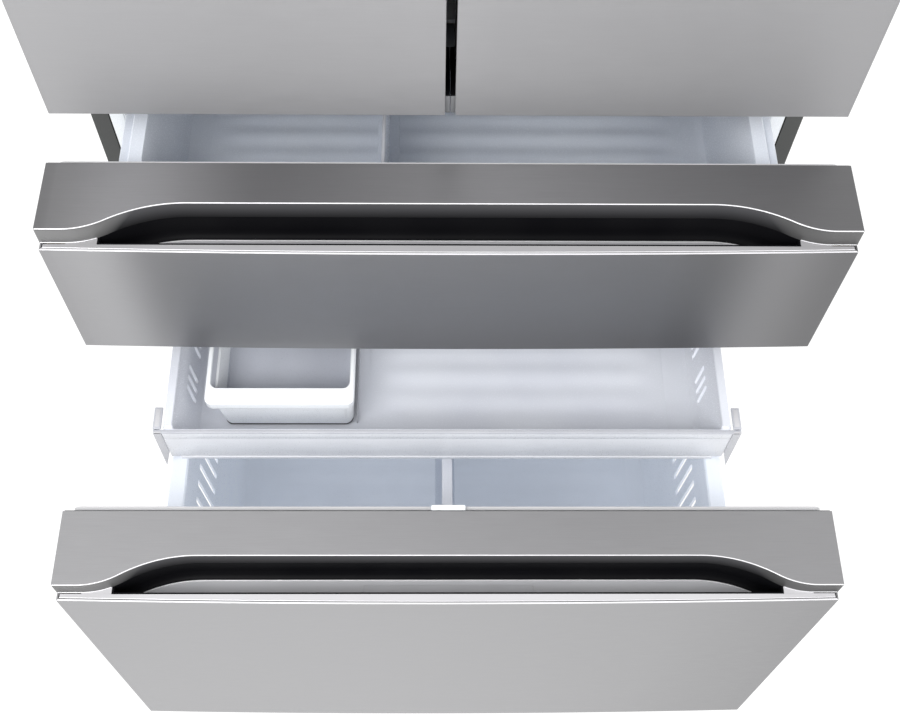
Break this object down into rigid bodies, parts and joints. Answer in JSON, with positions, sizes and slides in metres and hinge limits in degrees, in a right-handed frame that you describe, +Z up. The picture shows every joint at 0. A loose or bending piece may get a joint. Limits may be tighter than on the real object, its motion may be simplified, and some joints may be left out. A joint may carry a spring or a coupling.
{
  "type": "french door refrigerator",
  "caption": "Tall household refrigerator with paired french doors above a middle drawer and a freezer drawer, with hidden grips and sliding bins.",
  "frame": {"origin": "On the floor, at the middle of the footprint of the whole object with its drawers as they stand at rest.", "axes": "+Z up, the front faces -Y and the drawers open that way, +X to the right seen from the front."},
  "size_m": [0.908, 1.3717, 1.772],
  "materials": {
    "steel_light": "brushed stainless steel, light, grain from side to side",
    "steel_dark": "brushed stainless steel, the same sheet in shade",
    "case_paint": "dark grey textured paint",
    "zinc_sheet": "zinc-coated sheet",
    "leg_steel": "zinc-plated steel",
    "rail_steel": "zinc-plated slide steel",
    "coil_metal": "bare aluminium",
    "black_enamel": "black enamel",
    "white_liner": "glossy white plastic",
    "white_plastic": "white plastic",
    "bin_plastic": "frosted translucent plastic",
    "clear_plastic": "clear polystyrene",
    "shelf_glass": "tempered glass",
    "dark_plastic": "dark grey moulded plastic",
    "grip_black": "black moulded plastic",
    "roller_plastic": "grey nylon",
    "gasket": "soft magnetic gasket",
    "insulation": "polyurethane foam"
  },
  "bodies": {
    "cabinet": {"cabinet_wrapper": "case_paint", "cabinet_foam": "insulation", "cabinet_liners": "white_liner", "mullion_rails": "case_paint", "rear_panel": "zinc_sheet", "base_pan": "zinc_sheet", "toe_grille": "dark_plastic", "machine_cover": "zinc_sheet", "compressor": "black_enamel", "refrigerant_coils": "coil_metal", "evaporator_cover": "white_liner", "water_valve": "dark_plastic", "door_hinges": "leg_steel", "hinge_covers": "dark_plastic", "glass_shelves": "shelf_glass", "shelf_frames": "white_plastic", "cabinet_rails": "rail_steel"},
    "left_door": {"left_door_skin": "steel_light", "left_door_core": "insulation", "left_door_grip": "grip_black", "left_door_inner_panel": "white_liner", "left_door_gasket": "gasket", "left_door_bins": "clear_plastic"},
    "right_door": {"right_door_skin": "steel_light", "right_door_core": "insulation", "right_door_grip": "grip_black", "right_door_inner_panel": "white_liner", "right_door_gasket": "gasket", "right_door_bins": "clear_plastic"},
    "mullion_flap": {"mullion_flap": "dark_plastic"},
    "middle_drawer": {"middle_drawer_skin": "steel_dark", "middle_drawer_cap": "steel_dark", "middle_drawer_pocket": "grip_black", "middle_drawer_core": "insulation", "middle_drawer_inner_panel": "white_liner", "middle_drawer_gasket": "gasket", "middle_drawer_bin": "bin_plastic", "middle_drawer_slides": "rail_steel"},
    "middle_divider": {"middle_drawer_divider": "white_plastic"},
    "middle_slide_members": {"middle_slide_intermediates": "rail_steel"},
    "freezer_drawer": {"freezer_drawer_skin": "steel_light", "freezer_drawer_cap": "steel_light", "freezer_drawer_pocket": "grip_black", "freezer_drawer_core": "insulation", "freezer_drawer_inner_panel": "white_liner", "freezer_drawer_gasket": "gasket", "freezer_drawer_bin": "bin_plastic", "freezer_drawer_slides": "rail_steel"},
    "freezer_divider": {"freezer_drawer_divider": "white_plastic"},
    "freezer_slide_members": {"freezer_slide_intermediates": "rail_steel"},
    "freezer_basket": {"freezer_basket": "clear_plastic"},
    "ice_bin": {"ice_bin": "white_plastic"},
    "crisper_left": {"crisper_left": "clear_plastic"},
    "crisper_right": {"crisper_right": "clear_plastic"},
    "levelling_leg_left": {"levelling_leg_left": "leg_steel"},
    "levelling_leg_right": {"levelling_leg_right": "leg_steel"},
    "rear_roller_left": {"rear_roller_left": "roller_plastic"},
    "rear_roller_right": {"rear_roller_right": "roller_plastic"},
    "condenser_fan": {"condenser_fan": "dark_plastic"},
    "evaporator_fan": {"evaporator_fan": "white_plastic"}
  },
  "joints": [
    {"name": "left_door_hinge", "type": "hinge", "parent": "cabinet", "child": "left_door", "pos_m": [-0.436, -0.1651, 1.312], "axis": [0, 0, -1], "range_deg": [0, 115]},
    {"name": "right_door_hinge", "type": "hinge", "parent": "cabinet", "child": "right_door", "pos_m": [0.436, -0.1651, 1.312], "axis": [0, 0, 1], "range_deg": [0, 115]},
    {"name": "mullion_flap_fold", "type": "hinge", "parent": "left_door", "child": "mullion_flap", "pos_m": [-0.031, -0.0931, 1.312], "axis": [0, 0, -1], "range_deg": [0, 90]},
    {"name": "middle_drawer_slide", "type": "slide", "parent": "cabinet", "child": "middle_drawer", "axis": [0, -1, 0], "range_m": [-0.154, 0.276]},
    {"name": "middle_slide_member_slide", "type": "slide", "parent": "cabinet", "child": "middle_slide_members", "axis": [0, -1, 0], "range_m": [-0.08, 0.14]},
    {"name": "middle_divider_slide", "type": "slide", "parent": "middle_drawer", "child": "middle_divider", "axis": [1, 0, 0], "range_m": [-0.15, 0.25]},
    {"name": "freezer_drawer_slide", "type": "slide", "parent": "cabinet", "child": "freezer_drawer", "axis": [0, -1, 0], "range_m": [-0.471, 0.029]},
    {"name": "freezer_slide_member_slide", "type": "slide", "parent": "cabinet", "child": "freezer_slide_members", "axis": [0, -1, 0], "range_m": [-0.24, 0.02]},
    {"name": "freezer_divider_slide", "type": "slide", "parent": "freezer_drawer", "child": "freezer_divider", "axis": [1, 0, 0], "range_m": [-0.18, 0.18]},
    {"name": "freezer_basket_slide", "type": "slide", "parent": "cabinet", "child": "freezer_basket", "axis": [0, -1, 0], "range_m": [-0.363, 0.023]},
    {"name": "ice_bin_lift", "type": "slide", "parent": "freezer_basket", "child": "ice_bin", "axis": [0, 0, 1], "range_m": [0, 0.05]},
    {"name": "crisper_left_slide", "type": "slide", "parent": "cabinet", "child": "crisper_left", "axis": [0, -1, 0], "range_m": [0, 0.05]},
    {"name": "crisper_right_slide", "type": "slide", "parent": "cabinet", "child": "crisper_right", "axis": [0, -1, 0], "range_m": [0, 0.05]},
    {"name": "levelling_leg_left_turn", "type": "hinge", "parent": "cabinet", "child": "levelling_leg_left", "pos_m": [-0.4, -0.0501, 0.01], "axis": [0, 0, 1], "continuous": true},
    {"name": "levelling_leg_right_turn", "type": "hinge", "parent": "cabinet", "child": "levelling_leg_right", "pos_m": [0.4, -0.0501, 0.01], "axis": [0, 0, 1], "continuous": true},
    {"name": "rear_roller_left_spin", "type": "hinge", "parent": "cabinet", "child": "rear_roller_left", "pos_m": [-0.4, 0.6299, 0.017], "axis": [1, 0, 0], "continuous": true},
    {"name": "rear_roller_right_spin", "type": "hinge", "parent": "cabinet", "child": "rear_roller_right", "pos_m": [0.4, 0.6299, 0.017], "axis": [1, 0, 0], "continuous": true},
    {"name": "condenser_fan_spin", "type": "hinge", "parent": "cabinet", "child": "condenser_fan", "pos_m": [-0.11, 0.6189, 0.15], "axis": [0, 1, 0], "continuous": true},
    {"name": "evaporator_fan_spin", "type": "hinge", "parent": "cabinet", "child": "evaporator_fan", "pos_m": [0, 0.3919, 0.505], "axis": [0, 1, 0], "continuous": true}
  ],
  "couplings": [
    {"joint": "middle_slide_member_slide", "follows": "middle_drawer_slide", "ratio": 0.5},
    {"joint": "freezer_slide_member_slide", "follows": "freezer_drawer_slide", "ratio": 0.5},
    {"joint": "freezer_basket_slide", "follows": "freezer_drawer_slide", "ratio": 0.76858}
  ]
}
